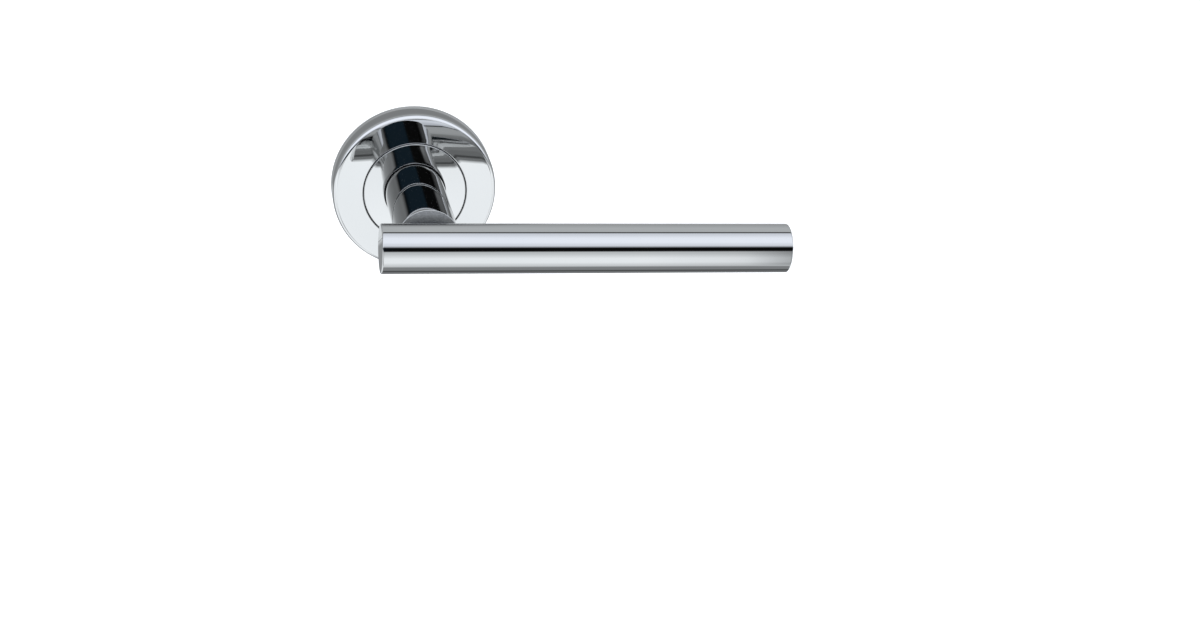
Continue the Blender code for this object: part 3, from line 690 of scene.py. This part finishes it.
# Bar
bar_low, bar_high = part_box("lever_bar")
bar_radius = (bar_high.z - bar_low.z) / 2
bar_y = (bar_high.y + bar_low.y) / 2
TO_BAR = Matrix.Translation((0, bar_y, 0)) @ Matrix.Rotation(pi / 2, 4, "Y")
EDGE = 0.45 * MM
bore = bar_radius - 1.5 * MM
outline = [(bore, bar_low.x), (bar_radius - EDGE - SUPPORT, bar_low.x)]
outline += arc((bar_radius - EDGE, bar_low.x + EDGE), EDGE, -90, 0, 8)
outline += [(bar_radius, bar_low.x + EDGE + SUPPORT), (bar_radius, bar_high.x - EDGE - SUPPORT)]
outline += arc((bar_radius - EDGE, bar_high.x - EDGE), EDGE, 0, 90, 8)
outline += [(bar_radius - EDGE - SUPPORT, bar_high.x), (bore, bar_high.x)]
stands_for(lathe("bar_tube", outline, [chrome], TO_BAR, 144), "lever_bar", "lever")
for name, start in (("bar_plug_near", bar_low.x), ("bar_plug_far", bar_high.x)):
    low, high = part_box(name)
    inner = low.x if start == bar_high.x else high.x
    fitted = bore - 0.03 * MM
    outline = [(0, start), (fitted - SUPPORT, start), (fitted, start), (fitted, inner), (0, inner)]
    stands_for(lathe(name + "_cap", outline, [chrome], TO_BAR, 96), name, "lever")

# Neck
neck_low, neck_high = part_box("neck")
neck_radius = (neck_high.x - neck_low.x) / 2
neck_end, neck_tail = -neck_low.y, -neck_high.y
NECK_EDGE = 0.22 * MM
SKIRT = 0.25 * MM
BUSH_WALL = 1.15 * MM
GROOVE_DEPTH = 0.65 * MM
skirt_low = recess_floor + CLEAR
circlip_low, circlip_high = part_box("circlip")
journal = outer("front_bush")[0] - BUSH_WALL
groove = journal - GROOVE_DEPTH
groove_low, groove_high = -circlip_high.y - CLEAR, -circlip_low.y + CLEAR
TIP = 0.3 * MM
outline = [(0, neck_tail), (journal - TIP, neck_tail), (journal, neck_tail + TIP), (journal, groove_low)]
outline += [(groove, groove_low), (groove, groove_high), (journal, groove_high), (journal, skirt_low)]
outline += [(neck_radius - SKIRT, skirt_low), (neck_radius, skirt_low + SKIRT)]
outline += [(neck_radius, neck_end - NECK_EDGE - SUPPORT)]
outline += arc((neck_radius - NECK_EDGE, neck_end - NECK_EDGE), NECK_EDGE, 0, 90, 5)
outline += [(neck_radius - NECK_EDGE - SUPPORT, neck_end), (0, neck_end)]
# The neck's third finish paints the bar's shade onto its end face.
neck = lathe("neck_body", outline, [chrome, matt, machined_shaded], TO_ROSE, 160)
spindle_low, spindle_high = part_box("spindle")
spindle_half = (spindle_high.x - spindle_low.x) / 2
screw_low, screw_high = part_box("bar_screw")
grub_low, grub_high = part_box("grub_screw")
SOCKET_GAP = 0.2 * MM
SEAT_WEB = 4.6 * MM
SADDLE_GAP = 0.08 * MM
socket_half = spindle_half + SOCKET_GAP
socket_end = -spindle_low.y + CLEAR
square = [(x * socket_half, y * socket_half) for x, y in ((-1, -1), (1, -1), (1, 1), (-1, 1))]
socket = prism(square, neck_tail - MM, socket_end, TO_ROSE)
head_bore = (screw_high.x - screw_low.x) / 2 + CLEAR
seat = -bar_y - bar_radius - SEAT_WEB
screw_hole = 2.2 * MM
stepped = [(0, socket_end - MM), (head_bore, socket_end - MM), (head_bore, seat), (screw_hole, seat)]
stepped += [(screw_hole, neck_end + MM), (0, neck_end + MM)]
screw_cut = lathe("tool", stepped, [], TO_ROSE, 32)
saddle_radius = bar_radius + SADDLE_GAP
reach = neck_radius + MM
saddle_outline = [(0, -reach), (saddle_radius, -reach), (saddle_radius, reach), (0, reach)]
saddle = lathe("tool", saddle_outline, [], TO_BAR, 192)
grub_radius = (grub_high.x - grub_low.x) / 2 + CLEAR
grub_place = Matrix.Translation((0, (grub_low.y + grub_high.y) / 2, 0)) @ Matrix.Rotation(pi, 4, "X")
grub_outline = [(0, 0), (grub_radius, 0), (grub_radius, reach), (0, reach)]
grub_cut = lathe("tool", grub_outline, [], grub_place, 48)
cut(neck, socket, screw_cut, saddle, grub_cut)
normals = [Vector((0, 0, 0))] * len(neck.data.loops)
for face in neck.data.polygons:
    middle = face.center
    radius = sqrt(middle.x**2 + middle.z**2)
    if abs(face.normal.y) < 0.02 and radius > neck_radius - 0.02 * MM:
        for corner in face.loop_indices:
            point = neck.data.vertices[neck.data.loops[corner].vertex_index].co
            normals[corner] = Vector((point.x, 0, point.z)).normalized()
        face.material_index = 0
    elif -middle.y > neck_end - NEAR:
        face.material_index = 2
    else:
        face.material_index = int(radius < neck_radius - 0.6 * MM or -middle.y < skirt_low + NEAR)
neck.data.normals_split_custom_set(normals)
stands_for(neck, "neck", "lever")

# Spindle: square bar with eased corners and chamfered ends
CORNER = 0.35 * MM


def rounded_square(half, corner, height):
    points = []
    for number in range(4):
        turn = 90 * number
        centre_x = (half - corner) * (1 if number in (0, 3) else -1)
        centre_y = (half - corner) * (1 if number in (0, 1) else -1)
        points += [(x, y, height) for x, y in arc((centre_x, centre_y), corner, turn, turn + 90, 3)]
    return points


low, high = -spindle_high.y, -spindle_low.y
END = 0.8 * MM
steps = [(spindle_half - END, low), (spindle_half, low + END), (spindle_half, high - END), (spindle_half - END, high)]
rings = [[(0, 0, low)]] + [rounded_square(half, CORNER, height) for half, height in steps] + [[(0, 0, high)]]
stands_for(loft("spindle_bar", rings, [brushed_zinc], TO_ROSE), "spindle", "lever")

# Bolts through the door, with rounded heads
FLARE = 1.35
BOLT_SHANK = 1.95 * MM
BOLT_HEAD = 2.5 * MM
BOLT_CROWN = 1.1 * MM
BOLT_THREAD = 19 * MM


def driver_recess(head_radius, high, depth, place):
    """Tool that cuts a tapered cross recess into a head."""
    span = 1.1 * head_radius
    return prism(cross(span, span / 4), high - depth, high + 0.2 * MM, place, FLARE)


for side in ("left", "right"):
    node = "fixing_bolt_" + side
    head_radius, low, high = outer(node)
    head_low = high - BOLT_HEAD
    ease = 0.15 * MM
    tip = [(0, low), (BOLT_SHANK - 0.5 * MM, low), (BOLT_SHANK - 0.05 * MM, low + 0.45 * MM)]
    rings = [circle(r, h, 40) for r, h in tip]
    rings += thread(BOLT_SHANK, 0.36 * MM, 0.7 * MM, low + 0.5 * MM, low + BOLT_THREAD, 40)
    outline = [(BOLT_SHANK, low + BOLT_THREAD + 0.2 * MM), (BOLT_SHANK, head_low)]
    outline += [(head_radius - ease, head_low), (head_radius, head_low + ease), (head_radius, high - BOLT_CROWN)]
    for degrees in (20, 40, 60, 80):
        inward, down = BOLT_CROWN * (1 - cos(radians(degrees))), BOLT_CROWN * (1 - sin(radians(degrees)))
        outline.append((head_radius - inward, high - down))
    outline += [(head_radius - BOLT_CROWN - 0.1 * MM, high), (0, high)]
    rings += [circle(r, h, 40) for r, h in outline]
    bolt = loft("through_bolt_" + side, rings, [zinc], off_axis(node))
    cut(bolt, driver_recess(head_radius, high, 1.5 * MM, off_axis(node)))
    stands_for(bolt, node, "rose")

# Countersunk wood screws
SCREW_SHANK = 1.6 * MM
SCREW_POINT = 3.4 * MM
for side in ("upper", "lower"):
    node = "wood_screw_" + side
    head_radius, low, high = outer(node)
    rings = [[(0, 0, low)]]
    rings += thread(SCREW_SHANK, 0.42 * MM, 1.35 * MM, low + 0.1 * MM, high - 2.6 * MM, 40, SCREW_POINT)
    outline = [(SCREW_SHANK, high - 2.4 * MM), (SCREW_SHANK, high - (head_radius - SCREW_SHANK))]
    outline += [(head_radius - 0.06 * MM, high - 0.16 * MM), (head_radius, high - 0.1 * MM)]
    outline += [(head_radius - 0.1 * MM, high), (0, high)]
    rings += [circle(r, h, 40) for r, h in outline]
    screw = loft("threaded_wood_screw_" + side, rings, [zinc], off_axis(node))
    cut(screw, driver_recess(head_radius, high, 1.1 * MM, off_axis(node)))
    stands_for(screw, node, "rose")

# Wire ring that grips the cover
ring_low, ring_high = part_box("cover_snap_ring")
wire = (ring_high.y - ring_low.y) / 2
ring_radius = (ring_high.x - ring_low.x) / 2 - wire
ring_depth = -(ring_high.y + ring_low.y) / 2
path = [(x, y, ring_depth) for x, y in arc((0, 0), ring_radius, -83, 263, 120)]
stands_for(sweep("snap_ring_wire", path, wire, spring_steel, TO_ROSE), "cover_snap_ring", "rose")

# Pieces whose CAD shape stays: real finishes, and edges eased as pressing and turning leave them
kept = {
    zinc: ("bar_screw", "grub_screw", "disc_screw_1", "disc_screw_2", "disc_screw_3", "stop_pin_full", "stop_pin_rest",
           "spring_driver", "thrust_washer"),
    brushed_zinc: ("backplate",),
    spring_steel: ("circlip", "return_spring"),
    brass: ("bar_anchor",),
    nylon: ("front_bush", "rear_bush"),
}
for finish, names in kept.items():
    for name in names:
        node = nodes[name]
        node.data.materials.clear()
        node.data.materials.append(finish)
        if name == "return_spring":
            continue
        ease = node.modifiers.new("eased_edges", "BEVEL")
        ease.width = 0.12 * MM
        ease.segments = 2
        ease.limit_method = "ANGLE"
        ease.angle_limit = radians(40)
        ease.harden_normals = True

low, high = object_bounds()
